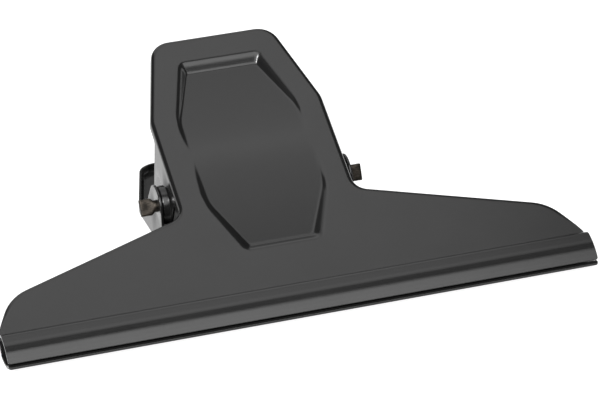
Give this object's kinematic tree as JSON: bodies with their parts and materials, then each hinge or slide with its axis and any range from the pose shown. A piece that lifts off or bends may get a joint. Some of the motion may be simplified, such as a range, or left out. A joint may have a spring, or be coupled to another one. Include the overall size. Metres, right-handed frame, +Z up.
{
  "type": "bulldog clip",
  "caption": "Wide sprung letter clip: two pressed T-shaped plates with bulged jaws pivot on a pin and a torsion spring holds the jaws shut.",
  "frame": {"origin": "middle of the object's box, on the surface that the rear plate lies on", "axes": "+X along the jaws to the right, +Y from the jaws to the grips, +Z up, out of the lying rear plate"},
  "size_m": [0.225, 0.1356, 0.0624],
  "materials": {
    "black_paint": "satin black stove paint on pressed steel sheet",
    "pin_steel": "dull browned bare steel, press marks on the flattened ends",
    "spring_steel": "drawn spring wire, oil blackened"
  },
  "bodies": {
    "rear": {"rear_plate": "black_paint", "torsion_spring": "spring_steel"},
    "front": {"front_plate": "black_paint"},
    "pin": {"pivot_pin": "pin_steel"}
  },
  "joints": [
    {"name": "jaw_open", "type": "hinge", "parent": "rear", "child": "front", "pos_m": [0, 0.00454, 0.01902], "axis": [-1, 0, 0], "range_deg": [0, 47], "stiffness_Nm_per_rad": 0.65, "springref_deg": -80.21, "deforming": ["torsion_spring"]},
    {"name": "pin_turn", "type": "hinge", "parent": "rear", "child": "pin", "pos_m": [0, 0.00454, 0.01902], "axis": [1, 0, 0], "continuous": true}
  ]
}
